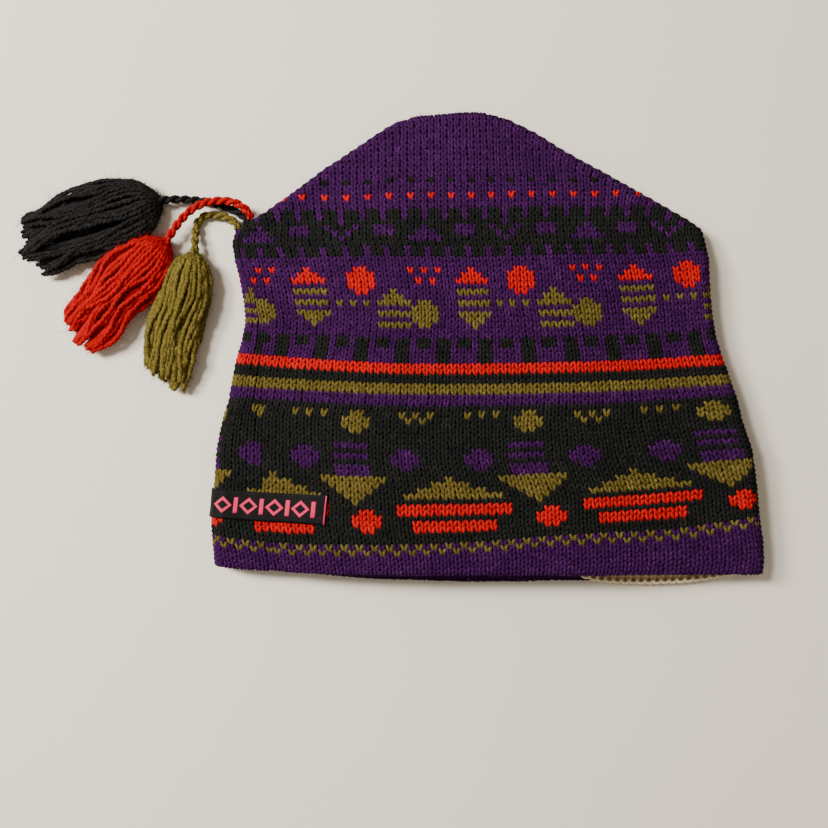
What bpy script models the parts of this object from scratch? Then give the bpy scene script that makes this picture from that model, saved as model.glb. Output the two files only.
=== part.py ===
# A knitted wool hat lying on its back: a double knit wall with a cream lining in
# its mouth, a woven label, and three twisted cords with tassels at one shoulder.
# Metres, +X along the hem, +Y from the hem to the crown, +Z up, with the origin
# on the floor under the middle of the hat.
from collections import namedtuple
from math import cos, hypot, pi, radians, sin

import bmesh
import bpy
import numpy as np
from mathutils import Vector

MM = 0.001

# The hat lying flat.
HAT_WIDTH = 0.2544
HAT_HEIGHT = 0.2125
HAT_DEPTH = 0.0290
KNIT_WALL = 0.0025
FRONT_STEPS = 13
FOLD_STEPS = 4

# The hem's line: its left corner rises, and the back hangs lower than the front.
# Both fade out at HEM_FADE, a share of the height. The rise takes up CORNER_SHARE
# of the width, and the front climbs to its full depth over DOME_SHARE of it.
HEM_RISE = 0.0041
BACK_DROP = 0.0038
HEM_FADE = 0.30
CORNER_SHARE = 0.30
DOME_SHARE = 0.36

# The lining, a thinner knitted band inside the mouth.
LINING_WALL = 0.0015
LINING_REACH = 0.0640
LINING_TUCK = 0.0016
LINING_SHOW = 0.0006
FIT_GAP = 0.0003

# The woven label, sewn on over the folded side.
LABEL_LENGTH = 0.0600
LABEL_WIDTH = 0.0134
LABEL_WALL = 0.0008
LABEL_UP = 0.0327
LABEL_WRAP = 0.0048
LABEL_TURN = radians(-3.8)

# The origin lies midway between the ends of the hat with its lining and label.
HAT_MIDDLE = (HAT_HEIGHT - BACK_DROP - LINING_SHOW) / 2.0
SIDE_SHIFT = LABEL_WALL / 2.0

# The cords, two strands twisted, and the tassels on their ends.
CORD_DIAMETER = 0.0042
CORD_SPACING = 2.0
LOCK_DIAMETER = 0.0066
TASSEL_DEPTH = 0.0125
HEAD_WIDTH = 0.0130
HEAD_GAP = 0.0004
FLOOR_GAP = 0.0002
REMESH_SIZE = 0.0013
REMESH_KEEP = 0.24

# The lying hat from the hem to the peak. up is a share of HAT_HEIGHT, left and
# right of HAT_WIDTH, and side, middle and under of HAT_DEPTH: the height of the
# side folds, of the front in the middle, and of the underside over the floor.
Section = namedtuple("Section", "up left right side middle under")
SECTIONS = (
    Section(0.000, -0.495, 0.498, 0.46, 0.74, 0.00),
    Section(0.033, -0.496, 0.500, 0.50, 0.80, 0.00),
    Section(0.076, -0.498, 0.497, 0.54, 0.86, 0.00),
    Section(0.119, -0.500, 0.491, 0.56, 0.91, 0.00),
    Section(0.162, -0.497, 0.488, 0.57, 0.95, 0.00),
    Section(0.206, -0.493, 0.484, 0.58, 0.98, 0.00),
    Section(0.271, -0.490, 0.477, 0.58, 1.00, 0.00),
    Section(0.336, -0.479, 0.459, 0.56, 1.00, 0.00),
    Section(0.379, -0.468, 0.451, 0.54, 0.99, 0.00),
    Section(0.422, -0.462, 0.439, 0.53, 0.98, 0.00),
    Section(0.465, -0.455, 0.426, 0.52, 0.97, 0.00),
    Section(0.509, -0.444, 0.414, 0.51, 0.97, 0.00),
    Section(0.552, -0.438, 0.408, 0.50, 0.96, 0.00),
    Section(0.595, -0.442, 0.404, 0.50, 0.95, 0.00),
    Section(0.639, -0.449, 0.402, 0.50, 0.94, 0.00),
    Section(0.682, -0.458, 0.401, 0.48, 0.92, 0.00),
    Section(0.714, -0.463, 0.396, 0.45, 0.89, 0.00),
    Section(0.747, -0.456, 0.379, 0.42, 0.84, 0.00),
    Section(0.768, -0.428, 0.357, 0.40, 0.80, 0.00),
    Section(0.790, -0.395, 0.326, 0.38, 0.76, 0.00),
    Section(0.833, -0.343, 0.261, 0.36, 0.67, 0.00),
    Section(0.877, -0.297, 0.194, 0.34, 0.57, 0.00),
    Section(0.920, -0.236, 0.133, 0.32, 0.46, 0.00),
    Section(0.955, -0.194, 0.081, 0.30, 0.37, 0.00),
    Section(0.978, -0.164, 0.034, 0.28, 0.30, 0.00),
    Section(0.991, -0.146, 0.012, 0.22, 0.23, 0.03),
    Section(1.000, -0.118, -0.008, 0.00, 0.00, 0.14),
)

# Each tassel lies on the floor at the end of its cord. The locks fan out across
# spread; bend turns their far half sideways, as a share of the length.
Tassel = namedtuple("Tassel", "name heading length spread bend locks colour")
TASSELS = (
    Tassel("black", radians(190), 0.0640, 0.0350, 0.14, 7, (0.010, 0.010, 0.011)),
    Tassel("red", radians(226), 0.0600, 0.0270, 0.00, 5, (0.740, 0.020, 0.008)),
    Tassel("olive", radians(260), 0.0650, 0.0225, -0.03, 4, (0.200, 0.140, 0.025)),
)

# A lock from the head to its tip: how far along, how far it has fanned out, and
# its thickness, as shares of the length, the spread and LOCK_DIAMETER.
Station = namedtuple("Station", "along fan thickness")
STATIONS = (
    Station(0.00, 0.35, 0.85),
    Station(0.10, 0.56, 1.00),
    Station(0.22, 0.66, 1.00),
    Station(0.40, 0.76, 1.00),
    Station(0.60, 0.85, 1.00),
    Station(0.80, 0.93, 1.00),
    Station(0.94, 0.98, 0.96),
    Station(1.00, 1.00, 0.62),
)

# Each cord's route in millimetres, from the shoulder of the hat to its tassel.
CORD_ROUTES = {
    "black": (
        (-110.8, 58.2, 3.8), (-113.0, 61.8, 3.2), (-119.6, 65.7, 2.5), (-127.6, 68.2, 2.3),
        (-136.4, 69.4, 2.3), (-145.0, 69.3, 4.2), (-151.2, 68.3, 6.0),
    ),
    "red": (
        (-108.1, 59.9, 8.5), (-110.3, 63.4, 9.6), (-116.0, 66.9, 9.0), (-123.2, 67.9, 7.8),
        (-129.4, 67.0, 7.4), (-135.6, 63.9, 7.4), (-140.7, 59.3, 7.0), (-144.6, 54.2, 6.4),
        (-148.0, 49.2, 6.0),
    ),
    "olive": (
        (-114.7, 55.8, 5.2), (-116.9, 59.0, 4.5), (-121.5, 61.4, 3.2), (-127.4, 62.4, 2.3),
        (-131.6, 61.5, 2.3), (-134.2, 58.4, 2.4), (-134.9, 53.4, 3.6), (-134.8, 48.4, 5.2),
        (-134.6, 44.0, 6.0),
    ),
}


def make_material(name, colour, roughness):
    material = bpy.data.materials.new(name)
    material.use_nodes = True
    shader = material.node_tree.nodes["Principled BSDF"]
    shader.inputs["Base Color"].default_value = (*colour, 1.0)
    shader.inputs["Roughness"].default_value = roughness
    shader.inputs["Metallic"].default_value = 0.0
    return material


def add_object(collection, name, mesh_or_curve, material):
    thing = bpy.data.objects.new(name, mesh_or_curve)
    thing.data.materials.append(material)
    collection.objects.link(thing)
    return thing


def section_at(up):
    """The hat's section at a share of its height, in metres."""
    table = np.array(SECTIONS)
    values = [np.interp(up, table[:, 0], table[:, column]) for column in range(1, 6)]
    left, right = values[0] * HAT_WIDTH, values[1] * HAT_WIDTH
    side, middle, under = (value * HAT_DEPTH for value in values[2:])
    return left, right, side, middle, under


def edge_slant(up, column):
    """How far a side fold leans: 1 where it runs straight up, more along a slope."""
    table = np.array(SECTIONS)
    step = 0.012
    low, high = max(up - step, 0.0), min(up + step, 1.0)
    ends = np.interp((low, high), table[:, 0], table[:, column]) * HAT_WIDTH
    return hypot(1.0, (ends[1] - ends[0]) / ((high - low) * HAT_HEIGHT))


def fold_sizes(up):
    """The reach of the left and right folds in X, and the span between them."""
    left, right, side, middle, under = section_at(up)
    room = 0.49 * (right - left)
    left_fold = min(side / 2.0 * edge_slant(up, 1), room)
    right_fold = min(side / 2.0 * edge_slant(up, 2), room)
    return left_fold, right - left - left_fold - right_fold, right_fold


def front_lengths(up):
    """The same three stretches by length over the front."""
    side = section_at(up)[2]
    left_fold, span, right_fold = fold_sizes(up)
    return (side / 2.0 + left_fold) * pi / 4.0, span, (side / 2.0 + right_fold) * pi / 4.0


def dome(share):
    """Rises from 0 at both side folds to a broad flat top of 1."""
    ramp = min(min(share, 1.0 - share) / DOME_SHARE, 1.0)
    return ramp * ramp * (3.0 - 2.0 * ramp)


def skin_point(run, up, back):
    """A point of the hat's outside, run from the left fold along the front or back."""
    left, right, side, middle, under = section_at(up)
    left_fold, span, right_fold = fold_sizes(up)
    left_arc, span, right_arc = front_lengths(up)
    half = side / 2.0
    if run < left_arc:
        turn = pi / 2.0 * run / left_arc
        x = left + left_fold * (1.0 - cos(turn))
        lift = half * sin(turn)
    elif run > left_arc + span:
        turn = pi / 2.0 * (left_arc + span + right_arc - run) / max(right_arc, 1e-9)
        x = right - right_fold * (1.0 - cos(turn))
        lift = half * sin(turn)
    else:
        x = left + left_fold + run - left_arc
        swell = 0.0 if back else (middle - side) * dome((run - left_arc) / span)
        lift = half + swell
    z = under + half + (-lift if back else lift)
    across = run / (left_arc + span + right_arc)
    mouth = max(1.0 - up / HEM_FADE, 0.0) ** 2
    y = up * HAT_HEIGHT + mouth * HEM_RISE * max(1.0 - across / CORNER_SHARE, 0.0) ** 2
    if back:
        y -= mouth * BACK_DROP * sin(pi * across * across)
    return Vector((x + SIDE_SHIFT, y - HAT_MIDDLE, z))


def ring_places():
    """Where a ring's points lie, from the left fold round by the right.

    Each is (left, middle, right, back): the shares of the three stretches behind it.
    """
    left = [(step / FOLD_STEPS, 0.0, 0.0) for step in range(FOLD_STEPS)]
    middle = [(1.0, step / FRONT_STEPS, 0.0) for step in range(FRONT_STEPS + 1)]
    right = [(1.0, 1.0, (step + 1) / FOLD_STEPS) for step in range(FOLD_STEPS)]
    front = left + middle + right
    return [(*place, False) for place in front] + [(*place, True) for place in front[-2:0:-1]]


def skin_mesh(name, ups, inset, mouth_edge):
    """A grid wrapped round the hat, one row of points for each of ups.

    inset moves it in from the outside. mouth_edge moves its first ring along Y.
    """
    places = ring_places()
    count = len(places)
    shape = bmesh.new()
    bmesh.ops.create_grid(shape, x_segments=count, y_segments=len(ups) - 1, size=1.0)
    for vert in shape.verts:
        step = round((vert.co.x + 1.0) / 2.0 * count) % count
        row = round((vert.co.y + 1.0) / 2.0 * (len(ups) - 1))
        *shares, back = places[step]
        lengths = front_lengths(ups[row])
        run = sum(share * length for share, length in zip(shares, lengths))
        vert.co = skin_point(run, ups[row], back)
        if row == 0:
            vert.co.y += mouth_edge(run / sum(lengths), back)
    bmesh.ops.remove_doubles(shape, verts=shape.verts, dist=1e-6)
    bmesh.ops.dissolve_degenerate(shape, edges=shape.edges, dist=1e-6)
    bmesh.ops.recalc_face_normals(shape, faces=shape.faces)
    shape.normal_update()
    top = max(shape.verts, key=lambda vert: vert.co.z)
    if top.normal.z < 0.0:
        bmesh.ops.reverse_faces(shape, faces=shape.faces)
        shape.normal_update()
    if inset:
        moves = [vert.normal * inset * vert.calc_shell_factor() for vert in shape.verts]
        for vert, move in zip(shape.verts, moves):
            vert.co -= move
    mesh = bpy.data.meshes.new(name)
    shape.to_mesh(mesh)
    shape.free()
    mesh.shade_smooth()
    return mesh


def add_wall(thing, thickness):
    solidify = thing.modifiers.new("wall", "SOLIDIFY")
    solidify.thickness = thickness
    solidify.offset = -1.0
    solidify.use_even_offset = True
    solidify.use_quality_normals = True
    return solidify


def build_knitted_shell(collection):
    """The outer knit, one tube closed over the crown and open at the hem."""
    ups = [section.up for section in SECTIONS]
    mesh = skin_mesh("knitted_shell", ups, 0.0, lambda across, back: 0.0)
    wool = make_material("purple_wool_knit", (0.066, 0.012, 0.112), 0.9)
    add_wall(add_object(collection, "knitted_shell", mesh, wool), KNIT_WALL)


def build_lining(collection):
    """The cream band inside the mouth. It shows past the hem at the back right."""
    reach = LINING_REACH / HAT_HEIGHT
    ups = [section.up for section in SECTIONS if section.up < reach - 0.01] + [reach]

    def mouth_edge(across, back):
        show = sin(pi * across * across) ** 2 if back else 0.0
        return LINING_TUCK * (1.0 - show) - LINING_SHOW * show

    mesh = skin_mesh("mouth_lining", ups, KNIT_WALL + FIT_GAP, mouth_edge)
    cream = make_material("cream_wool_knit", (0.700, 0.560, 0.350), 0.9)
    add_wall(add_object(collection, "mouth_lining", mesh, cream), LINING_WALL)


def build_label(collection):
    """A woven tape label that follows the front and turns round the left fold."""
    shape = bmesh.new()
    along, rise = 20, 3
    bmesh.ops.create_grid(shape, x_segments=along, y_segments=rise, size=0.5)
    step = 0.0005
    for vert in shape.verts:
        run = (vert.co.x + 0.5) * LABEL_LENGTH
        lift = vert.co.y * LABEL_WIDTH
        place = run * cos(LABEL_TURN) - lift * sin(LABEL_TURN) - LABEL_WRAP
        up = (LABEL_UP + run * sin(LABEL_TURN) + lift * cos(LABEL_TURN)) / HAT_HEIGHT
        here = skin_point(abs(place), up, place < 0.0)
        before = skin_point(abs(place - step), up, place < step)
        along_x = skin_point(abs(place + step), up, place < -step) - before
        along_y = skin_point(abs(place), up + step / HAT_HEIGHT, place < 0.0) - here
        vert.co = here + along_x.cross(along_y).normalized() * (2.0 * FIT_GAP)
    shape.normal_update()
    mesh = bpy.data.meshes.new("woven_label")
    shape.to_mesh(mesh)
    shape.free()
    tape = make_material("black_woven_tape", (0.008, 0.008, 0.010), 0.6)
    label = add_object(collection, "woven_label", mesh, tape)
    add_wall(label, LABEL_WALL).offset = 1.0


def smooth_route(points, spacing):
    """Points spacing apart along a smooth curve through the route's own points."""
    points = [Vector(point) * MM for point in points]
    points = [2 * points[0] - points[1], *points, 2 * points[-1] - points[-2]]
    fine = []
    for before, start, end, after in zip(points, points[1:], points[2:], points[3:]):
        for share in (step / 16.0 for step in range(16)):
            bend = 2 * before - 5 * start + 4 * end - after
            twist = 3 * start - before - 3 * end + after
            fine.append(start + 0.5 * share * (end - before + share * (bend + share * twist)))
    fine.append(points[-2])
    lengths = np.cumsum([0.0] + [(b - a).length for a, b in zip(fine, fine[1:])])
    count = max(round(lengths[-1] / spacing), 4)
    marks = np.linspace(0.0, lengths[-1], count + 1)
    columns = [np.interp(marks, lengths, [point[axis] for point in fine]) for axis in range(3)]
    return [Vector(point) for point in zip(*columns)]


def tube_curve(name, points, diameter, radii=None):
    curve = bpy.data.curves.new(name, "CURVE")
    curve.dimensions = "3D"
    curve.bevel_depth = diameter / 2.0
    curve.bevel_resolution = 2
    curve.use_fill_caps = True
    spline = curve.splines.new("POLY")
    spline.points.add(len(points) - 1)
    for index, point in enumerate(points):
        spline.points[index].co = (*point, 1.0)
        spline.points[index].radius = radii[index] if radii else 1.0
    return curve


def tassel_base(tassel):
    """The tassel's near end on its cord, with its forward and sideways directions."""
    near = Vector(CORD_ROUTES[tassel.name][-1]) * MM
    near.z = TASSEL_DEPTH / 2.0
    forward = Vector((cos(tassel.heading), sin(tassel.heading), 0.0))
    return near, forward, Vector((-forward.y, forward.x, 0.0))


def lock_path(tassel, lateral, height, reach):
    """One lock's points and radii, from the head out to its ragged end."""
    near, forward, aside = tassel_base(tassel)
    start = Vector((near.x, near.y, height)) + forward * (HEAD_WIDTH / 2.0)
    room = (tassel.spread - LOCK_DIAMETER) / 2.0
    points = []
    for station in STATIONS:
        run = station.along * reach
        along = forward * (run * (tassel.length - HEAD_WIDTH / 2.0))
        sway = lateral * room * station.fan + tassel.bend * tassel.length * run * run
        points.append(start + along + aside * sway)
    return points, [station.thickness for station in STATIONS]


def curve_mesh(curve):
    """The curve's tube as a mesh with its caps welded on."""
    guide = bpy.data.objects.new(curve.name, curve)
    bpy.context.scene.collection.objects.link(guide)
    graph = bpy.context.evaluated_depsgraph_get()
    mesh = bpy.data.meshes.new_from_object(guide.evaluated_get(graph))
    bpy.data.objects.remove(guide)
    return mesh


def build_tassel(collection, tassel, material):
    """Locks of yarn in two layers, fused to a round head tied on the cord's end."""
    name = "tassel_" + tassel.name
    shape = bmesh.new()
    low = LOCK_DIAMETER / 2.0 + FLOOR_GAP
    high = TASSEL_DEPTH - LOCK_DIAMETER / 2.0
    layers = ((tassel.locks, low), (tassel.locks - 1, high))
    for layer, (count, height) in enumerate(layers):
        for index in range(count):
            lateral = (2.0 * index + 1.0 - count) / (tassel.locks - 1.0)
            reach = 0.95 + 0.05 * sin(2.4 * index + 1.7 * layer)
            points, radii = lock_path(tassel, lateral, height, reach)
            mesh = curve_mesh(tube_curve("lock", points, LOCK_DIAMETER, radii))
            shape.from_mesh(mesh)
            bpy.data.meshes.remove(mesh)
    near, forward, aside = tassel_base(tassel)
    head = bmesh.ops.create_uvsphere(shape, u_segments=16, v_segments=10, radius=HEAD_WIDTH / 2.0)
    for vert in head["verts"]:
        vert.co.z *= (TASSEL_DEPTH - 2.0 * FLOOR_GAP) / HEAD_WIDTH
        vert.co += near + forward * (HEAD_WIDTH / 2.0)
    bmesh.ops.remove_doubles(shape, verts=shape.verts, dist=1e-6)
    mesh = bpy.data.meshes.new(name)
    shape.to_mesh(mesh)
    shape.free()
    thing = add_object(collection, name, mesh, material)
    fuse = thing.modifiers.new("fuse", "REMESH")
    fuse.mode = "VOXEL"
    fuse.voxel_size = REMESH_SIZE
    thin = thing.modifiers.new("thin", "DECIMATE")
    thin.ratio = REMESH_KEEP


def build_cord(collection, tassel, material):
    """A round tube for the twisted cord, from the shoulder to the tassel's head."""
    points = smooth_route(CORD_ROUTES[tassel.name], CORD_SPACING * CORD_DIAMETER)
    trim = (points[-1] - points[-2]).normalized() * HEAD_GAP
    points[-1] = points[-1] - trim
    name = "cord_" + tassel.name
    add_object(collection, name, tube_curve(name, points, CORD_DIAMETER), material)


for old in list(bpy.data.objects):
    bpy.data.objects.remove(old)
hat = bpy.data.collections.new("wool_hat")
bpy.context.scene.collection.children.link(hat)
build_knitted_shell(hat)
build_lining(hat)
build_label(hat)
for tassel in TASSELS:
    yarn = make_material(tassel.name + "_wool_yarn", tassel.colour, 0.9)
    build_cord(hat, tassel, yarn)
    build_tassel(hat, tassel, yarn)
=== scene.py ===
from collections import namedtuple
from math import atan2, cos, pi, radians, sin, tan

import bmesh
import bpy
import numpy as np
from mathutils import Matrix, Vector


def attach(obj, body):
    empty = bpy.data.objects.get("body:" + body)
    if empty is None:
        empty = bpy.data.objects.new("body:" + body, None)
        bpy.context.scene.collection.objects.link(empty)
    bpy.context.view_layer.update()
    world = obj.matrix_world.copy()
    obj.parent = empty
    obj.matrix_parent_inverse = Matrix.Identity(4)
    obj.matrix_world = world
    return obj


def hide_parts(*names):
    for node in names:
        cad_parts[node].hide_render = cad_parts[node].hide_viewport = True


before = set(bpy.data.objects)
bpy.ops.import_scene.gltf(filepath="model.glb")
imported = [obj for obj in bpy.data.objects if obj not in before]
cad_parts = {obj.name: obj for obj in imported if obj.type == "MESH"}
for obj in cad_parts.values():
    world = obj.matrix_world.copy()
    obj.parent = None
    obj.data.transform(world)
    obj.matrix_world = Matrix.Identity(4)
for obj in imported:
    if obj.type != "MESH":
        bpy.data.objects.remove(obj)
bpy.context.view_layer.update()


# The camera looks straight down on the table, square on, as the photograph does.
# Its angle is a phone's, and the hat's side folds lie at the height of VIEW_PLANE.
VIEW_ANGLE = radians(46.0)
VIEW_WIDTH = 0.3810
VIEW_PLANE = 0.0075
VIEW_MIDDLE = (-0.0334, -0.0302)
camera_data = bpy.data.cameras.new("camera")
camera_data.sensor_width = 36.0
camera_data.lens = camera_data.sensor_width / 2.0 / tan(VIEW_ANGLE / 2.0)
camera_data.clip_start = 0.02
camera = bpy.data.objects.new("camera", camera_data)
camera.location = (*VIEW_MIDDLE, VIEW_PLANE + VIEW_WIDTH / 2.0 / tan(VIEW_ANGLE / 2.0))
bpy.context.scene.collection.objects.link(camera)
bpy.context.scene.camera = camera


# The table: a smooth matt laminate, off-white, without a pattern. Only a faint
# unevenness of its paint shows.
FLOOR_SIZE = 3.0
FLOOR_PAINT = ("#dcd6c8", "#d5cfc2")
MOTTLES_PER_METRE = 6.0


def linear(colour):
    """An sRGB hex colour as a linear colour with alpha."""
    shares = [int(colour[place:place + 2], 16) / 255.0 for place in (1, 3, 5)]
    steps = [s / 12.92 if s <= 0.04045 else ((s + 0.055) / 1.055) ** 2.4 for s in shares]
    return (*steps, 1.0)


def add_node(material, kind, inputs, **settings):
    """Adds a node. An input given another node's output is linked, else set."""
    tree = material.node_tree
    node = tree.nodes.new(kind)
    for name, value in settings.items():
        setattr(node, name, value)
    for socket, value in inputs.items():
        if isinstance(value, bpy.types.NodeSocket):
            tree.links.new(value, node.inputs[socket])
        else:
            node.inputs[socket].default_value = value
    return node


def new_material(name, roughness, specular):
    """A plain material with its gloss set, and its shader."""
    material = bpy.data.materials.new(name)
    material.use_nodes = True
    shader = material.node_tree.nodes["Principled BSDF"]
    shader.inputs["Roughness"].default_value = roughness
    shader.inputs["Specular IOR Level"].default_value = specular
    return material, shader


def new_piece(name, mesh, *materials):
    """An object at the origin with its mesh and materials."""
    piece = bpy.data.objects.new(name, mesh)
    bpy.context.scene.collection.objects.link(piece)
    for material in materials:
        mesh.materials.append(material)
    return piece


def painted_laminate():
    """Painted laminate, wiped and slightly dull: a broad soft mottle, no gloss."""
    material, shader = new_material("painted_laminate", 0.7, 0.25)
    place = add_node(material, "ShaderNodeTexCoord", {})
    mottle = add_node(
        material, "ShaderNodeTexNoise",
        {"Vector": place.outputs["Object"], "Scale": MOTTLES_PER_METRE, "Detail": 4.0},
    )
    paint = add_node(
        material, "ShaderNodeMix",
        {"Factor": mottle.outputs["Fac"], "A": linear(FLOOR_PAINT[0]), "B": linear(FLOOR_PAINT[1])},
        data_type="RGBA",
    )
    material.node_tree.links.new(paint.outputs["Result"], shader.inputs["Base Color"])
    return material


floor_shape = bmesh.new()
bmesh.ops.create_grid(floor_shape, x_segments=1, y_segments=1, size=FLOOR_SIZE / 2.0)
floor_mesh = bpy.data.meshes.new("floor")
floor_shape.to_mesh(floor_mesh)
floor_shape.free()
floor = new_piece("floor", floor_mesh, painted_laminate())


# The light: two soft lamps on the left, one high and one low, and a pale warm room
# all round, so that short shadows fall in two steps on the right side.
ROOM_COLOUR = "#efe2d2"
ROOM_STRENGTH = 0.55


def add_lamp(name, place, size, power, colour):
    """A square area lamp at place, turned towards the hat."""
    lamp = bpy.data.lights.new(name, "AREA")
    lamp.shape = "SQUARE"
    lamp.size = size
    lamp.energy = power
    lamp.color = linear(colour)[:3]
    holder = bpy.data.objects.new(name, lamp)
    holder.location = place
    holder.rotation_euler = (-Vector(place)).to_track_quat("-Z", "Y").to_euler()
    bpy.context.scene.collection.objects.link(holder)


add_lamp("window_light", (-0.84, 0.42, 1.20), size=0.26, power=26.0, colour="#fffbf5")
add_lamp("side_light", (-1.20, 0.46, 1.02), size=0.34, power=39.0, colour="#fffaf3")
room = bpy.data.worlds.new("room")
room.use_nodes = True
room_light = room.node_tree.nodes["Background"]
room_light.inputs["Color"].default_value = linear(ROOM_COLOUR)
room_light.inputs["Strength"].default_value = ROOM_STRENGTH
bpy.context.scene.world = room


# The knit's ground: the hat's own form, from the same sections as its solid, with the crown a little
# wider. Under the stitches lies the back of the knit, where the spare yarns run: a dark purple sheet,
# partly the purple yarn's own colour and partly painted shade for the shadow between the stitches.
HAT_WIDTH = 0.2544
HAT_HEIGHT = 0.2125
HAT_DEPTH = 0.0290
DOME_SHARE = 0.36
FOLD_LIMIT = 0.49
LINING_SHOW = 0.0006
LABEL_WALL = 0.0008
SIDE_SHIFT = LABEL_WALL / 2.0

# Along the hem the left corner rises, the back hangs below the front by BACK_DROP in
# BACK_HEM's shares across it, and the front's middle is drawn up by FRONT_LIFT. All
# of it fades out at HEM_FADE up the hat. At the top the crown is pulled out by
# CROWN_TIP in CROWN_TIP_FORM's shares.
HEM_FADE = 0.30
HEM_RISE = 0.0041
CORNER_SHARE = 0.30
FRONT_LIFT = 0.0010
BACK_DROP = 0.0038
BACK_HEM = ((0.0, 0.18, 0.30, 0.50, 0.70, 0.85, 1.0), (0.0, 0.35, 1.00, 1.30, 1.05, 0.80, 0.0))
CROWN_TIP = 0.0022
CROWN_TIP_UP = 0.90
CROWN_TIP_FORM = ((0.0, 0.32, 0.62, 0.80, 1.0), (0.0, 0.50, 0.92, 1.0, 0.20))
HAT_MIDDLE = (HAT_HEIGHT - BACK_DROP - LINING_SHOW) / 2.0

BACKING_DEPTH = 0.0017
BACKING_WALL = 0.0005
BACKING_SPAN = (0.007, 0.998)
BACKING_ROWS = 54
BACKING_STEPS = 140
# Dark purple: the purple yarn's own colour, partly painted shade.
BACKING_SHADES = ("#180620", "#290d35", "#40194e")

# The slope of an edge is taken over SLOPE_STEP of the height to either side, and the
# skin's own directions over RUN_STEP in metres and UP_STEP of the height.
SLOPE_STEP = 0.012
RUN_STEP = 0.0004
UP_STEP = 0.004
LAST_UP = 0.999

# up is a share of HAT_HEIGHT, left and right of HAT_WIDTH, and side, middle and
# under of HAT_DEPTH: the side folds, the front's middle and the underside.
Section = namedtuple("Section", "up left right side middle under")
SECTIONS = np.array((
    Section(0.000, -0.495, 0.498, 0.46, 0.74, 0.00),
    Section(0.033, -0.496, 0.500, 0.50, 0.80, 0.00),
    Section(0.076, -0.498, 0.497, 0.54, 0.86, 0.00),
    Section(0.119, -0.500, 0.491, 0.56, 0.91, 0.00),
    Section(0.162, -0.497, 0.488, 0.57, 0.95, 0.00),
    Section(0.206, -0.493, 0.484, 0.58, 0.98, 0.00),
    Section(0.271, -0.490, 0.477, 0.58, 1.00, 0.00),
    Section(0.336, -0.479, 0.459, 0.56, 1.00, 0.00),
    Section(0.379, -0.468, 0.451, 0.54, 0.99, 0.00),
    Section(0.422, -0.462, 0.439, 0.53, 0.98, 0.00),
    Section(0.465, -0.455, 0.426, 0.52, 0.97, 0.00),
    Section(0.509, -0.444, 0.414, 0.51, 0.97, 0.00),
    Section(0.552, -0.438, 0.408, 0.50, 0.96, 0.00),
    Section(0.595, -0.442, 0.404, 0.50, 0.95, 0.00),
    Section(0.639, -0.449, 0.402, 0.50, 0.94, 0.00),
    Section(0.682, -0.458, 0.401, 0.48, 0.92, 0.00),
    Section(0.714, -0.463, 0.396, 0.45, 0.89, 0.00),
    Section(0.747, -0.457, 0.389, 0.42, 0.84, 0.00),
    Section(0.768, -0.430, 0.367, 0.40, 0.80, 0.00),
    Section(0.790, -0.400, 0.336, 0.38, 0.76, 0.00),
    Section(0.833, -0.350, 0.273, 0.36, 0.67, 0.00),
    Section(0.877, -0.302, 0.208, 0.34, 0.57, 0.00),
    Section(0.920, -0.248, 0.142, 0.32, 0.46, 0.00),
    Section(0.955, -0.205, 0.095, 0.30, 0.37, 0.00),
    Section(0.978, -0.177, 0.058, 0.28, 0.30, 0.00),
    Section(0.991, -0.150, 0.030, 0.22, 0.23, 0.03),
    Section(1.000, -0.118, 0.000, 0.00, 0.00, 0.14),
))


def read(table, place, column):
    """A column of a table at a place between its rows."""
    return np.interp(place, table[:, 0], table[:, column])


def hat_edges(up):
    """The left and right edge in X."""
    return read(SECTIONS, up, 1) * HAT_WIDTH, read(SECTIONS, up, 2) * HAT_WIDTH


def front_lengths(up):
    """Each side fold's reach in X, and the front's three stretches by length."""
    low, high = np.maximum(up - SLOPE_STEP, 0.0), np.minimum(up + SLOPE_STEP, 1.0)
    left, right = hat_edges(up)
    side = read(SECTIONS, up, 3) * HAT_DEPTH
    folds = []
    for edge_low, edge_high in zip(hat_edges(low), hat_edges(high)):
        slant = np.hypot(1.0, (edge_high - edge_low) / ((high - low) * HAT_HEIGHT))
        folds.append(np.minimum(side / 2.0 * slant, FOLD_LIMIT * (right - left)))
    left_arc, right_arc = ((side / 2.0 + fold) * pi / 4.0 for fold in folds)
    return folds[0], folds[1], left_arc, right - left - folds[0] - folds[1], right_arc


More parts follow.
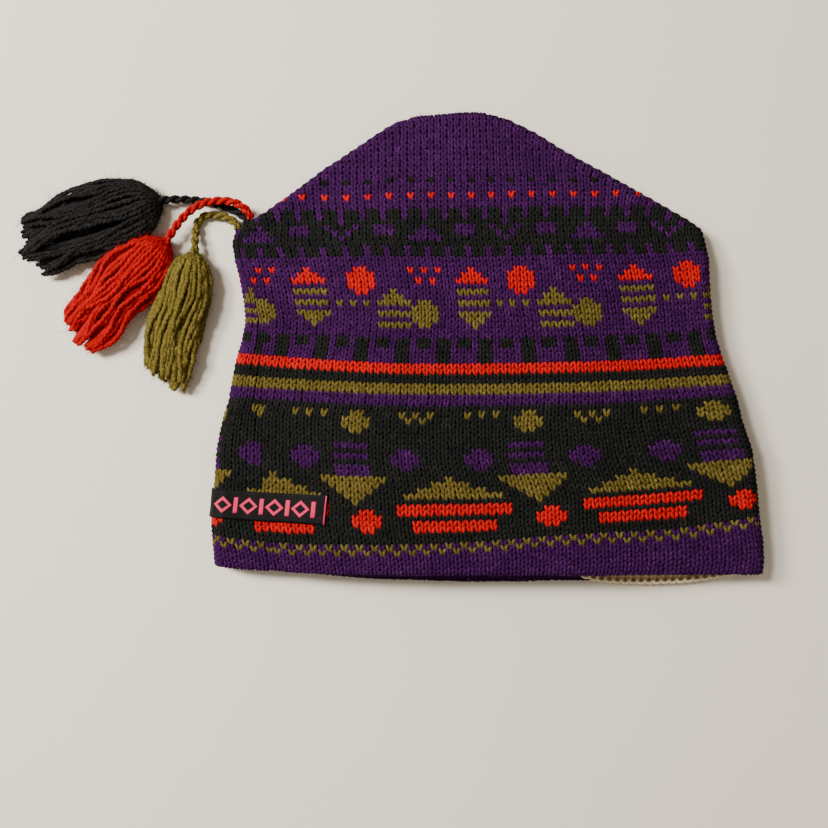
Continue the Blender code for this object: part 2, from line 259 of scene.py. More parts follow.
def skin_point(run, up, back):
    """Points of the hat's outside, run from the left fold along the front or back."""
    left, right = hat_edges(up)
    side, middle, under = (read(SECTIONS, up, column) * HAT_DEPTH for column in (3, 4, 5))
    left_fold, right_fold, left_arc, span, right_arc = front_lengths(up)
    half = side / 2.0
    total = left_arc + span + right_arc
    left_turn = np.clip(pi / 2.0 * run / np.maximum(left_arc, 1e-9), 0.0, pi / 2.0)
    right_turn = np.clip(pi / 2.0 * (total - run) / np.maximum(right_arc, 1e-9), 0.0, pi / 2.0)
    share = np.clip((run - left_arc) / np.maximum(span, 1e-9), 0.0, 1.0)
    ramp = np.minimum(np.minimum(share, 1.0 - share) / DOME_SHARE, 1.0)
    swell = np.where(back, 0.0, (middle - side) * ramp * ramp * (3.0 - 2.0 * ramp))
    at_left, at_right = run < left_arc, run > left_arc + span
    x = left + left_fold + run - left_arc
    x = np.where(at_left, left + left_fold * (1.0 - np.cos(left_turn)), x)
    x = np.where(at_right, right - right_fold * (1.0 - np.cos(right_turn)), x)
    lift = np.where(at_left, half * np.sin(left_turn), half + swell)
    lift = np.where(at_right, half * np.sin(right_turn), lift)
    across = run / np.maximum(total, 1e-9)
    mouth = np.maximum(1.0 - up / HEM_FADE, 0.0) ** 2
    y = up * HAT_HEIGHT + mouth * HEM_RISE * np.maximum(1.0 - across / CORNER_SHARE, 0.0) ** 2
    low = BACK_DROP * np.interp(across, *BACK_HEM)
    y = y - mouth * np.where(back, low, -FRONT_LIFT * np.sin(pi * across))
    crown = np.clip((up - CROWN_TIP_UP) / (1.0 - CROWN_TIP_UP), 0.0, 1.0)
    y = y + CROWN_TIP * crown * np.interp(across, *CROWN_TIP_FORM)
    z = under + half + np.where(back, -lift, lift)
    return np.stack((x + SIDE_SHIFT, y - HAT_MIDDLE, z), axis=-1)


def unit(vectors):
    """The vectors at a length of one."""
    return vectors / np.maximum(np.linalg.norm(vectors, axis=-1, keepdims=True), 1e-12)


def skin_frame(run, up, back):
    """A skin point with its direction up the hat and its outward normal."""
    total = sum(front_lengths(up)[2:])
    start, end = np.maximum(run - RUN_STEP, 0.0), np.minimum(run + RUN_STEP, total)
    along = skin_point(end, up, back) - skin_point(start, up, back)
    low, high = np.maximum(up - UP_STEP, 0.0), np.minimum(up + UP_STEP, LAST_UP)
    across = run / total
    runs = [across * sum(front_lengths(edge)[2:]) for edge in (low, high)]
    rise = skin_point(runs[1], high, back) - skin_point(runs[0], low, back)
    out = unit(np.cross(along, rise)) * np.where(back, -1.0, 1.0)[..., None]
    return skin_point(run, up, back), unit(rise), out


def map_cloth(shape, flat):
    """A UV map named cloth, with each vertex at its place in flat."""
    layer = shape.loops.layers.uv.new("cloth")
    shape.verts.index_update()
    for face in shape.faces:
        for loop in face.loops:
            loop[layer].uv = flat[loop.vert.index]


def finish_mesh(name, shape):
    """The shape as a smooth mesh."""
    mesh = bpy.data.meshes.new(name)
    shape.to_mesh(mesh)
    shape.free()
    mesh.shade_smooth()
    return mesh


def round_hat(share):
    """Shares of the way round the hat, front then back, as (across, back)."""
    turn = 2.0 * share
    return np.where(turn < 1.0, turn, 2.0 - turn), turn >= 1.0


def skin_band(name, ups, depth, count, edge_move=None):
    """A grid wrapped round the hat at a depth under its skin, a row for each of ups."""
    last = len(ups) - 1
    shape = bmesh.new()
    bmesh.ops.create_grid(shape, x_segments=count, y_segments=last, size=1.0)
    flat = np.array([vert.co[:2] for vert in shape.verts])
    steps = np.rint((flat[:, 0] + 1.0) / 2.0 * count).astype(int) % count
    rows = np.rint((flat[:, 1] + 1.0) / 2.0 * last).astype(int)
    across, back = round_hat(steps / count)
    up = np.asarray(ups)[rows]
    if edge_move is not None:
        up = up + edge_move(across, back) / HAT_HEIGHT * (1.0 - rows / last)
    place, _, out = skin_frame(across * sum(front_lengths(up)[2:]), up, back)
    for vert, co in zip(shape.verts, place - out * depth):
        vert.co = co
    map_cloth(shape, flat)
    bmesh.ops.remove_doubles(shape, verts=shape.verts, dist=1e-6)
    bmesh.ops.dissolve_degenerate(shape, edges=shape.edges, dist=1e-6)
    bmesh.ops.recalc_face_normals(shape, faces=shape.faces)
    shape.normal_update()
    if max(shape.verts, key=lambda vert: vert.co.z).normal.z < 0.0:
        bmesh.ops.reverse_faces(shape, faces=shape.faces)
    return finish_mesh(name, shape)


def add_wall(piece, thickness):
    """Gives an open sheet its thickness, inwards."""
    wall = piece.modifiers.new("wall", "SOLIDIFY")
    wall.thickness = thickness
    wall.offset = -1.0


# The yarns' shades: in the shadow between fibres, over most of it, and on top.
YARN_SHADES = {
    "purple": ("#11021a", "#2a0535", "#4b1d57"),
    "black": ("#040505", "#0f100f", "#242522"),
    "red": ("#6e0202", "#9b0508", "#c0120c"),
    "olive": ("#272109", "#4d4217", "#6e6333"),
    "cream": ("#a8926a", "#e6d7b2", "#fbf3dc"),
}
FIBRE_DRAWN = 0.00045
FIBRE_RELIEF = 0.00012
FADES_PER_METRE = 70.0


def cloth_finish(material, shader, level, shades, places, height, strength, relief):
    """Colours a cloth's shader by a level through its shades, and gives it relief."""
    ramp = add_node(material, "ShaderNodeValToRGB", {"Fac": level})
    stops = ramp.color_ramp.elements
    for stop, shade, place in zip(stops, (shades[0], shades[-1]), (places[0], places[-1])):
        stop.color = linear(shade)
        stop.position = place
    for shade, place in zip(shades[1:-1], places[1:-1]):
        stops.new(place).color = linear(shade)
    bump = add_node(
        material, "ShaderNodeBump", {"Height": height, "Strength": strength, "Distance": relief},
    )
    material.node_tree.links.new(ramp.outputs["Color"], shader.inputs["Base Color"])
    material.node_tree.links.new(bump.outputs["Normal"], shader.inputs["Normal"])


def wool_yarn(name, shades):
    """Plied wool: dull, soft-edged, each fibre a little lighter or darker."""
    # Fibres are 0.03 mm; they are drawn 0.45 mm across so that they show at all.
    material, shader = new_material(name, 0.92, 0.10)
    place = add_node(material, "ShaderNodeTexCoord", {})
    fibres = add_node(
        material, "ShaderNodeTexNoise",
        {"Vector": place.outputs["Object"], "Scale": 0.5 / FIBRE_DRAWN, "Detail": 4.0,
         "Roughness": 0.62},
    )
    patches = add_node(
        material, "ShaderNodeTexNoise",
        {"Vector": place.outputs["Object"], "Scale": FADES_PER_METRE, "Detail": 2.0},
    )
    faded = add_node(
        material, "ShaderNodeMapRange",
        {"Value": patches.outputs["Fac"], "To Min": 0.44, "To Max": 0.56},
    )
    tone = add_node(material, "ShaderNodeAttribute", {}, attribute_name="tone")
    level = add_node(
        material, "ShaderNodeMath",
        {0: fibres.outputs["Fac"], 1: faded.outputs["Result"]}, operation="ADD",
    )
    level = add_node(
        material, "ShaderNodeMath",
        {0: level.outputs["Value"], 1: tone.outputs["Fac"]}, operation="ADD",
    )
    spread = add_node(
        material, "ShaderNodeMapRange",
        {"Value": level.outputs["Value"], "From Min": 0.70, "From Max": 1.30},
    )
    cloth_finish(
        material, shader, spread.outputs["Result"], shades, (0.0, 0.5, 1.0),
        fibres.outputs["Fac"], 0.9, FIBRE_RELIEF,
    )
    shader.inputs["Sheen Weight"].default_value = 0.08
    shader.inputs["Sheen Roughness"].default_value = 0.5
    shader.inputs["Sheen Tint"].default_value = linear(shades[2])
    return material


backing_ups = np.linspace(*BACKING_SPAN, BACKING_ROWS)
backing_mesh = skin_band("knit_backing", backing_ups, BACKING_DEPTH, BACKING_STEPS)
knit_backing = new_piece(
    "knit_backing", backing_mesh, wool_yarn("shadowed_wool_back", BACKING_SHADES),
)
add_wall(knit_backing, BACKING_WALL)
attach(knit_backing, "root")
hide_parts("knitted_shell")


# The knit: a round tube of plain stitches in four wools, the pattern knitted in
# with the colour change of each stitch. Each stitch is two plump legs in a V.
YARN_ORDER = ("purple", "black", "red", "olive")
PURPLE, BLACK, RED, OLIVE = range(4)
WALES = 141
ROWS = (-8, 86)
CROWN_ROW = 39
STITCH_WIDTH = 0.0035
STITCH_HEIGHT = 0.00240
CROWN_START = 0.745
RIM_RADIUS = 0.00125
RIM_END = 0.0050
LEG_DEPTH = 0.0009
LEG_HALF_WIDTH = 0.00090
LEG_HALF_DEPTH = 0.00078
LEG_HEADING = atan2(0.42 * STITCH_WIDTH, 1.78 * STITCH_HEIGHT)
SEAM_DEPTH = 0.0006
SEAM_WALES = 0.9
LAST_KNIT_UP = 0.9985
KNIT_END_UP = 1.004
EDGE_MARGIN = STITCH_WIDTH * 0.55
LEAN_EASE = 0.0875
KNIT_FLOOR = 0.00005

# How much stitches differ: in tone, in place by wales, rows and metres, and in length.
TONE_SPREAD = 0.03
PLACE_SPREAD = (0.035, 0.05, 0.00006)
LENGTH_SPREAD = 0.06

# The loose fibres: how many on each half, their mean length and their width drawn.
KNIT_FIBRES = (14000, 0.0018, 0.00012)
FIBRE_FACING = -0.35
FIBRE_LIFT = 0.6
FIBRE_BEND = 0.6
FIBRE_FLOOR = 0.0001

# A leg from its foot to its shoulder: how far along, across the wale in wales, up
# the wale in rows, and out of the cloth as a share of LEG_HALF_DEPTH.
LegPoint = namedtuple("LegPoint", "along across up out")
LEG_PATH = np.array((
    LegPoint(0.00, 0.02, -0.98, -0.95),
    LegPoint(0.25, 0.10, -0.54, -0.10),
    LegPoint(0.50, 0.215, -0.06, 0.22),
    LegPoint(0.75, 0.34, 0.38, 0.12),
    LegPoint(1.00, 0.44, 0.80, -0.55),
))

# Where the rows lie up the front, and the wales across it at two heights. The knit
# is pulled a little wider towards the right.
ROW_PLACES = ((-8.0, 0.0, 60.0, 73.0, 86.0), (-0.069, 0.0202, 0.6895, 0.8428, 1.0080))
WALE_LEVELS = (0.168, 0.604)
WALE_PLACES = (
    ((-12.0, -2.75, 7.0, 18.0, 31.0, 43.5, 55.0, 64.0, 71.0, 90.0),
     (-0.125, 0.0, 0.129, 0.274, 0.441, 0.608, 0.762, 0.899, 1.0, 1.270)),
    ((-12.0, -1.25, 11.0, 35.0, 59.0, 71.8, 90.0),
     (-0.142, 0.0, 0.163, 0.482, 0.820, 1.0, 1.257)),
)

# How the cloth lies pulled, in pixels read off the photograph. Its rows climb towards both side folds, by
# a height at some rows, along a curve that starts at a share of the way across.
PHOTO_PIXEL = 0.00044
LEFT_CLIMB = ((8, 10, 33, 37, 54, 70), (0, 2, 10, 12, 3, 0))
LEFT_CLIMB_FROM = 0.37
LEFT_CLIMB_CURVE = 1.5
RIGHT_CLIMB = ((4.5, 10, 33, 37, 54, 70), (26, 21, 15, 10, 7, 0))
RIGHT_CLIMB_FROM = 0.45
RIGHT_CLIMB_CURVE = 1.7

# What is left over: each row's further rise, by the share of the way across, and how
# far the wales lean right in a row, by the wale.
Pull = namedtuple("Pull", "row places shifts")
ACROSS = (0.0, 0.09, 0.17, 0.26, 0.35, 0.50, 0.60, 0.70, 0.82, 0.91, 1.0)
ROW_RISES = [Pull(row, ACROSS, rises) for row, rises in (
    (4.5, (0, -6, -8, -6.5, -6, -1.5, 2, 1, -3.5, -1.5, 0)),
    (9, (0, -4, -4.5, -2.5, -2.5, -1, 1, 2, 1, 1, 1)),
    (15, (0.5, 0.5, 0, -1, -0.5, 0.5, 1, 1, 0, 0, 0)),
    (21, (3, 5.5, 4, 2, 1.5, 2, 3, 2, 1.5, 3, 2)),
    (28, (1, 2.5, 1, 0.5, 0, 0, 0.5, -3, -2.5, 0, 0)),
    (31.5, (4, 4, 4, 3, 2.5, 2.5, 2, 1, 0, -0.5, 0)),
    (34, (3, 3, 3, 3, 2.5, 2, 1.5, 1, 1, 1, 1)),
    (38, (4, 4, 3, 2, 1, 1, 1, 1, 1.5, 3, 3.5)),
    (41, (2, 1, 1, 0.5, 0, 0, 0, 0, 1.5, 3, 4)),
    (46, (1, 1, 0.5, 0, -1, -2, -1.5, -1, -0.5, 2, 4)),
    (50, (1, 1, 0.5, 0, 0, -0.5, -0.5, 0, 2, 5, 5)),
    (55, (3, 3, 3, 2, 1, 1, 2, 3, 3.5, 7, 9)),
    (59.5, (2, 2, 2, 1.5, 1, 0, 1, 2, 4, 6, 8)),
    (67, (4.5, 4, 4, 2, 1, 1.5, 2.5, 5, 8.5, 10, 10)),
    (70, (5, 5, 4, 1.5, 1, 1, 2.5, 5, 9.5, 11, 11)),
    (73, (3, 2.5, 1.5, 1, 0.5, 0.5, 1.5, 4, 6.5, 8, 8)),
    (86, (0,) * 11),
)]
WALE_LEANS = (
    Pull(13, (0, 71), (0, 0)),
    Pull(20.5, (0, 11, 18, 26, 36, 42, 50, 60, 66, 71), (0, 0, -3, -5.5, -8, -13, -12, -8.5, -8, 0)),
    Pull(28, (0, 11, 18, 27, 35, 42, 51, 59, 66, 71), (-2, -4, -2, -4.5, -5, -9, -10, -9.5, -5, 0)),
    Pull(40, (0, 71), (0, 0)),
    Pull(50, (0, 3, 11, 18, 28, 35, 42, 50, 59, 66), (-3, -4, 0, 2, 3.5, 2.5, -3, -2, 1, 4)),
    Pull(59.5, (0, 11, 17, 20, 29, 35, 38, 44, 56, 66, 71),
         (-3, 0.5, 5, 6.5, 5.5, 5.5, 4, -0.5, -3.5, 0, 2)),
    Pull(70, (0, 12, 18, 21, 27, 36, 42, 48, 54, 60, 71), (-9, -7, -1.5, 0.5, 4.5, 5.5, 2.5, 2, 5, 7, 8)),
)

# The colours from the hem up: the ground's last row in each yarn.
GROUND = ((5, PURPLE), (30, BLACK), (32, PURPLE), (34, OLIVE), (36, BLACK), (38, RED),
          (58, PURPLE), (67, BLACK), (ROWS[1], PURPLE))

# Motifs stand centred on a wale, or between two, and repeat round the hat. widths
# are their rows' stitches from the first row up, with 0 where the ground shows.
Motif = namedtuple("Motif", "yarn repeat middles row widths")
LOW, HIGH, BAND = 18.0, 11.0, 17.0
DOT = (2, 4, 4, 2)
TALL_DOT = (2, 4, 4, 4, 2)
MOTIFS = (
    Motif(OLIVE, 2, (1,), 4, (1,)),
    Motif(OLIVE, 2, (0,), 5, (1,)),
    Motif(RED, 24, (LOW + 1.5,), 8, DOT),
    Motif(RED, 24, (LOW + 13,), 8, (11, 11, 0, 15, 15)),
    Motif(OLIVE, 24, (LOW + 13,), 14, (13, 9, 5, 1)),
    Motif(OLIVE, 24, (LOW,), 13, (1, 3, 5, 7, 9)),
    Motif(PURPLE, 24, (LOW,), 18, (5, 5, 0, 5, 0, 5)),
    Motif(PURPLE, 24, (LOW + 7.5, LOW - 6.5), 19, DOT),
    Motif(OLIVE, 24, (LOW + 0.5,), 26, DOT),
    Motif(OLIVE, 24, (LOW - 8, LOW - 6, LOW - 4, LOW + 7, LOW + 9, LOW + 11), 29, (1,)),
    Motif(OLIVE, 24, (LOW + 8, LOW + 10), 28, (1,)),
    Motif(BLACK, 6, (0.5,), 39, (2, 2, 2, 2, 2)),
    Motif(BLACK, 6, (3.5,), 42, (2, 2)),
    Motif(OLIVE, 24, (HIGH,), 46, (1, 3, 5, 0, 5, 0, 5)),
    Motif(RED, 24, (HIGH,), 54, (5, 3, 1)),
    Motif(OLIVE, 24, (HIGH + 12,), 46, (5, 0, 5, 0, 5, 3, 1)),
    Motif(OLIVE, 24, (HIGH + 16.5,), 46, TALL_DOT),
    Motif(RED, 24, (HIGH + 7.5,), 52, TALL_DOT),
    Motif(OLIVE, 24, (HIGH + 4, HIGH + 6, HIGH + 8), 50, (1,)),
    Motif(RED, 24, (HIGH + 15, HIGH + 17, HIGH + 19), 56, (1,)),
    Motif(RED, 24, (HIGH + 16, HIGH + 18), 54, (1,)),
    Motif(PURPLE, 3, (2,), 59, (1, 1)),
    Motif(PURPLE, 24, (BAND,), 62, (1,)),
    Motif(PURPLE, 24, (BAND - 1, BAND + 1), 63, (1,)),
    Motif(PURPLE, 24, (BAND - 2, BAND + 2), 64, (1,)),
    Motif(PURPLE, 24, (BAND + 6, BAND + 18), 63, (3, 3)),
    Motif(PURPLE, 24, (BAND + 12,), 62, (5, 3, 1)),
    Motif(PURPLE, 24, (BAND,), 65, (1, 1)),
    Motif(PURPLE, 3, (2,), 66, (1, 1)),
    Motif(RED, 3, (0,), 70, (1,)),
    Motif(BLACK, 3, (0,), 73, (1,)),
)


def seam_wale(row):
    """Where the side seam runs: it leans across a few wales from the hem up."""
    return np.interp(row, (8.0, 22.0, 50.0, 70.0), (6.3, 5.7, 2.5, 1.5))


def yarn_at(wale, row):
    """The yarn of each stitch. Past the seam the round starts again."""
    wale = np.where(wale < seam_wale(row), wale + WALES, wale)
    yarn = np.full(wale.shape, PURPLE)
    for last, ground in reversed(GROUND):
        yarn = np.where(row <= last, ground, yarn)
    for motif in MOTIFS:
        for step, width in enumerate(motif.widths):
            for middle in motif.middles:
                offset = (wale - middle + motif.repeat / 2.0) % motif.repeat - motif.repeat / 2.0
                inside = (row == motif.row + step) & (2.0 * np.abs(offset) < width)
                yarn = np.where(inside, motif.yarn, yarn)
    return yarn


def side_climb(row, across):
    """How far a row climbs towards the side folds, in pixels."""
    left = np.interp(row, *LEFT_CLIMB)
    left = left * np.maximum(1.0 - across / LEFT_CLIMB_FROM, 0.0) ** LEFT_CLIMB_CURVE
    right = np.interp(row, *RIGHT_CLIMB)
    share = np.maximum((across - RIGHT_CLIMB_FROM) / (1.0 - RIGHT_CLIMB_FROM), 0.0)
    return left + right * share ** RIGHT_CLIMB_CURVE


def pulled(pulls, row, place):
    """The shift at a place in a row, between the pulls below and above it."""
    lines = np.stack([np.interp(place, pull.places, pull.shifts) for pull in pulls])
    level = np.interp(row, [pull.row for pull in pulls], np.arange(len(pulls)))
    low = np.minimum(level.astype(int), len(pulls) - 2)
    share = level - low
    below = np.take_along_axis(lines, low[None], axis=0)[0]
    above = np.take_along_axis(lines, low[None] + 1, axis=0)[0]
    return (1.0 - share) * below + share * above


def row_up(row):
    """A row's height as a share of the hat's."""
    return np.interp(row, *ROW_PLACES)


def wale_across(wale, up, back):
    """A wale's share of the way across the front or back."""
    low = np.clip(up, 0.0, CROWN_START)
    blend = (low - WALE_LEVELS[0]) / (WALE_LEVELS[1] - WALE_LEVELS[0])
    first, last = (
        (1.0 - blend) * WALE_PLACES[0][0][place] + blend * WALE_PLACES[1][0][place]
        for place in (1, -2)
    )
    below, above = (np.interp(wale, *places) for places in WALE_PLACES)
    front = (1.0 - blend) * below + blend * above
    behind = np.where(wale < first, first - wale, first + WALES - wale)
    return np.where(back, behind / (WALES - (last - first)), front)


def left_lengths(up):
    """The left fold's reach and arc, and the whole length across the front."""
    left_fold, _, left_arc, span, right_arc = front_lengths(up)
    return left_fold, left_arc, left_arc + span + right_arc


def cloth_frame(wale, row, back):
    """A stitch's place on the hat, its outward direction, whether it is past the knit's
    edge, and its height.

    In the crown the wales run on straight up and end at the sloping sides, and at
    the hem the rows turn round the rim to the inside.
    """
    level = row_up(row)
    across = wale_across(wale, level, back)
    share = np.clip(across, 0.0, 1.0)
    rise = (side_climb(row, share) + pulled(ROW_RISES, row, share)) * PHOTO_PIXEL
    lean = pulled(WALE_LEANS, row, wale) * np.where(back, 0.0, PHOTO_PIXEL)
    up = level + rise / HAT_HEIGHT
    low = np.minimum(up, CROWN_START)
    base_fold, base_arc, base_total = left_lengths(low)
    height = up * HAT_HEIGHT
    turn = np.clip((RIM_RADIUS - height) / RIM_RADIUS, 0.0, pi)
    bent = RIM_RADIUS * (1.0 - np.sin(turn)) + np.maximum(RIM_RADIUS - height - pi * RIM_RADIUS, 0.0)
    kept = np.clip(np.where(height < RIM_RADIUS, bent / HAT_HEIGHT, up), 0.0, LAST_KNIT_UP)
    fold, arc, total = left_lengths(kept)
    run = across * base_total + (hat_edges(low)[0] + base_fold - base_arc)
    run = run - (hat_edges(kept)[0] + fold - arc)
    run = np.where(up < CROWN_START, np.clip(across, 0.0, 1.0) * total, run)
    eased = np.clip(np.minimum(across, 1.0 - across) / LEAN_EASE, 0.0, 1.0)
    run = run + lean * np.where(up < CROWN_START, eased, 1.0)
    outside = (run < -EDGE_MARGIN) | (run > total + EDGE_MARGIN) | (up > KNIT_END_UP)
    place, rise, out = skin_frame(np.clip(run, 0.0, total), kept, back)
    inward = RIM_RADIUS * (1.0 - np.cos(turn))
    normal = out * np.cos(turn)[..., None] - rise * np.sin(turn)[..., None]
    return place - out * inward[..., None], normal, outside, height


def leg_template(sides, rings):
    """One leg as points (along, sideways, out) and its triangles."""
    shape = bmesh.new()
    bmesh.ops.create_uvsphere(shape, u_segments=sides, v_segments=rings, radius=1.0)
    bmesh.ops.triangulate(shape, faces=shape.faces)
    shape.verts.index_update()
    points = np.array([(0.5 + vert.co.z / 2.0, vert.co.x, vert.co.y) for vert in shape.verts])
    faces = np.array([[vert.index for vert in face.verts] for face in shape.faces])
    shape.free()
    return points, faces


def leg_offsets(points, mirror):
    """The template bent along LEG_PATH: wales across, rows up, and metres out."""
    centre = [read(LEG_PATH, points[:, 0], column) for column in (1, 2, 3)]
    aside = points[:, 1] * LEG_HALF_WIDTH
    across = centre[0] + aside * cos(LEG_HEADING) / STITCH_WIDTH
    up = centre[1] - aside * sin(LEG_HEADING) / STITCH_HEIGHT
    out = (centre[2] + points[:, 2]) * LEG_HALF_DEPTH
    return across * mirror, up, out - LEG_DEPTH


def points_mesh(name, points, triangles, yarns):
    """A mesh of points and triangles, with the number of each triangle's material."""
    mesh = bpy.data.meshes.new(name)
    mesh.from_pydata(points, [], triangles)
    mesh.polygons.foreach_set("material_index", yarns.astype(np.int32))
    return mesh


def knit_stitches(name, rows, back, sides, rings, seed):
    """All the stitches of some rows of the front or back, as one mesh."""
    random = np.random.default_rng(seed)
    points, faces = leg_template(sides, rings)
    wales, lines = np.meshgrid(np.arange(-3, WALES + 3), np.arange(rows[0], rows[1]))
    wales, lines = wales.ravel().astype(float), lines.ravel().astype(float)
    across = wale_across(wales, row_up(lines), np.full(wales.shape, back))
    inside = (across > 0.0) & (across <= 1.0)
    wales, lines = wales[inside], lines[inside]
    _, _, outside, height = cloth_frame(wales, lines, np.full(wales.shape, back))
    shown = ~outside & (height > -RIM_END)
    wales, lines = wales[shown], lines[shown]
    count = len(wales)
    yarn = yarn_at(np.where(wales < -2.5, wales + WALES, wales), lines)
    tone = random.normal(0.0, TONE_SPREAD, count)
    shift = random.normal(0.0, 1.0, (count, 3)) * PLACE_SPREAD
    seam = (wales - seam_wale(lines)) / SEAM_WALES
    sunk = SEAM_DEPTH * np.exp(-seam ** 2) * np.where(back, 0.0, 1.0)
    corners, triangles, yarns, tones = [], [], [], []
    for side, mirror in enumerate((1.0, -1.0)):
        across, up, out = leg_offsets(points, mirror)
        swell = 1.0 + random.normal(0.0, LENGTH_SPREAD, count)[:, None]
        wale = wales[:, None] + shift[:, :1] + across[None, :]
        row = lines[:, None] + shift[:, 1:2] + up[None, :] * swell
        depth = out[None, :] + shift[:, 2:3] - sunk[:, None]
        spot, normal, _, _ = cloth_frame(wale, row, np.broadcast_to(back, wale.shape))
        spot = spot + normal * depth[..., None]
        spot[..., 2] = np.maximum(spot[..., 2], KNIT_FLOOR)
        corners.append(spot.reshape(-1, 3))
        order = faces if mirror > 0.0 else faces[:, ::-1]
        starts = (side * count + np.arange(count)) * len(points)
        triangles.append((starts[:, None, None] + order[None]).reshape(-1, 3))
        yarns.append(np.repeat(yarn, len(faces)))
        tones.append(np.repeat(tone, len(points)))
    corners, triangles, yarns = (np.concatenate(part) for part in (corners, triangles, yarns))
    mesh = points_mesh(name, corners, triangles, yarns)
    mesh.attributes.new("tone", "FLOAT", "POINT").data.foreach_set("value", np.concatenate(tones))
    mesh.shade_smooth()
    mesh.update()
    return mesh


def fuzz_mesh(name, source, count, length, width, seed):
    """Loose fibres standing off a mesh, each a thin curved ribbon of three triangles."""
    random = np.random.default_rng(seed)
    total = len(source.polygons)
    centres, normals = np.empty(total * 3), np.empty(total * 3)
    yarns = np.empty(total, dtype=np.int32)
    source.polygons.foreach_get("center", centres)
    source.polygons.foreach_get("normal", normals)
    source.polygons.foreach_get("material_index", yarns)
    centres, normals = centres.reshape(-1, 3), normals.reshape(-1, 3)
    pick = random.choice(np.flatnonzero(normals[:, 2] > FIBRE_FACING), count)
    foot, lift = centres[pick], normals[pick] * random.uniform(0.0, FIBRE_LIFT, (count, 1))
    heading = unit(lift + random.normal(0.0, FIBRE_BEND, (count, 3)))
    bent = unit(heading + random.normal(0.0, FIBRE_BEND, (count, 3)))
    reach = length * random.gamma(2.5, 0.4, (count, 1))
    middle = foot + heading * reach * 0.5
    tip = middle + bent * reach * 0.5
    aside = unit(np.cross(heading, random.normal(0.0, 1.0, (count, 3)))) * width / 2.0
    corners = np.stack((foot - aside, foot + aside, middle - aside, middle + aside, tip), axis=1)
    corners[..., 2] = np.maximum(corners[..., 2], FIBRE_FLOOR)
    order = np.array(((0, 1, 3), (0, 3, 2), (2, 3, 4)))
    triangles = (np.arange(count) * 5)[:, None, None] + order[None]
    corners, triangles = corners.reshape(-1, 3), triangles.reshape(-1, 3)
    mesh = points_mesh(name, corners, triangles, np.repeat(yarns[pick], 3))
    mesh.update()
    return mesh


knit_yarns = [wool_yarn(colour + "_wool_knit", YARN_SHADES[colour]) for colour in YARN_ORDER]
for name, rows, back, sides, rings, seed in (
    ("knit_front_brim", (ROWS[0], CROWN_ROW), False, 5, 4, 11),
    ("knit_front_crown", (CROWN_ROW, ROWS[1]), False, 5, 4, 12),
    ("knit_back_brim", (ROWS[0], CROWN_ROW), True, 4, 3, 13),
    ("knit_back_crown", (CROWN_ROW, ROWS[1]), True, 4, 3, 14),
):
    knit_mesh = knit_stitches(name, rows, back, sides, rings, seed)
    pieces = [new_piece(name, knit_mesh, *knit_yarns)]
    if not back:
        fuzz = fuzz_mesh(name + "_fuzz", knit_mesh, *KNIT_FIBRES, seed)
        pieces.append(new_piece(name + "_fuzz", fuzz, *knit_yarns))
    for piece in pieces:
        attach(piece, "root")
        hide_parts("knitted_shell")


# The lining: a thin cream knit band folded into the mouth and joined to the hem by
# a row of cream loops, which show past the hem at the back right.
KNIT_WALL = 0.0025
FIT_GAP = 0.0003
LINING_WALL = 0.0015
LINING_REACH = 0.0640
LINING_ROWS = 18
LINING_STEPS = 200
LINING_STITCH = 0.0024
LINING_RELIEF = 0.0006
LINING_FIBRES_PER_METRE = 1100.0
# The band's shades are its cream painted down to tan as shade, since the band lies in shadow in the
# mouth; the loops keep the yarn's own cream.
SHADED_LINING_SHADES = ("#5a431f", "#9c8152", "#cdb98e")
LOOP_YARN = 0.00066
LOOP_RADIUS = 0.00095
LOOP_LIFT = 0.0003
LOOP_POINTS = 10
LOOP_UP = 0.002

# The edge is tucked in by LINING_TUCK, but from LOOPS_FROM across the back it comes
# out past the hem by LINING_LOW.
LINING_TUCK = 0.0060
LINING_LOW = 0.0004
LOOPS_FROM = 0.66


def lining_edge(across, back):
    """How far up the lining's edge lies from the hem."""
    start = np.clip((across - LOOPS_FROM) / (1.0 - LOOPS_FROM), 0.0, 1.0)
    show = np.where(back, np.maximum(np.sin(pi * start ** 0.8), 0.0) ** 0.5, 0.0)
    return LINING_TUCK * (1.0 - show) - LINING_LOW * show


def knitted_cream():
    """Fine cream wool knit, painted down to tan as shade: ribs one wale wide, with the rows crossing
    them, and painted shade low between them.
    """
    # Both are drawn at their real size, on the lining's own grid.
    material, shader = new_material("cream_wool_knit", 0.92, 0.12)
    place = add_node(material, "ShaderNodeTexCoord", {})
    cloth = add_node(material, "ShaderNodeUVMap", {}, uv_map="cloth")
    ribs, rows = (
        add_node(
            material, "ShaderNodeTexWave",
            {"Vector": cloth.outputs["UV"], "Scale": pi / 20.0 * count, "Distortion": 0.0},
            bands_direction=direction,
        )
        for direction, count in (("X", WALES), ("Y", LINING_REACH / LINING_STITCH))
    )
    fibres = add_node(
        material, "ShaderNodeTexNoise",
        {"Vector": place.outputs["Object"], "Scale": LINING_FIBRES_PER_METRE, "Detail": 4.0},
    )
    knit = add_node(
        material, "ShaderNodeMath",
        {0: rows.outputs["Fac"], 1: 0.45, 2: ribs.outputs["Fac"]}, operation="MULTIPLY_ADD",
    )
    height = add_node(
        material, "ShaderNodeMath",
        {0: fibres.outputs["Fac"], 1: 0.4, 2: knit.outputs["Value"]}, operation="MULTIPLY_ADD",
    )
    cloth_finish(
        material, shader, height.outputs["Value"], SHADED_LINING_SHADES, (0.0, 0.55, 1.0),
        height.outputs["Value"], 1.0, LINING_RELIEF,
    )
    return material


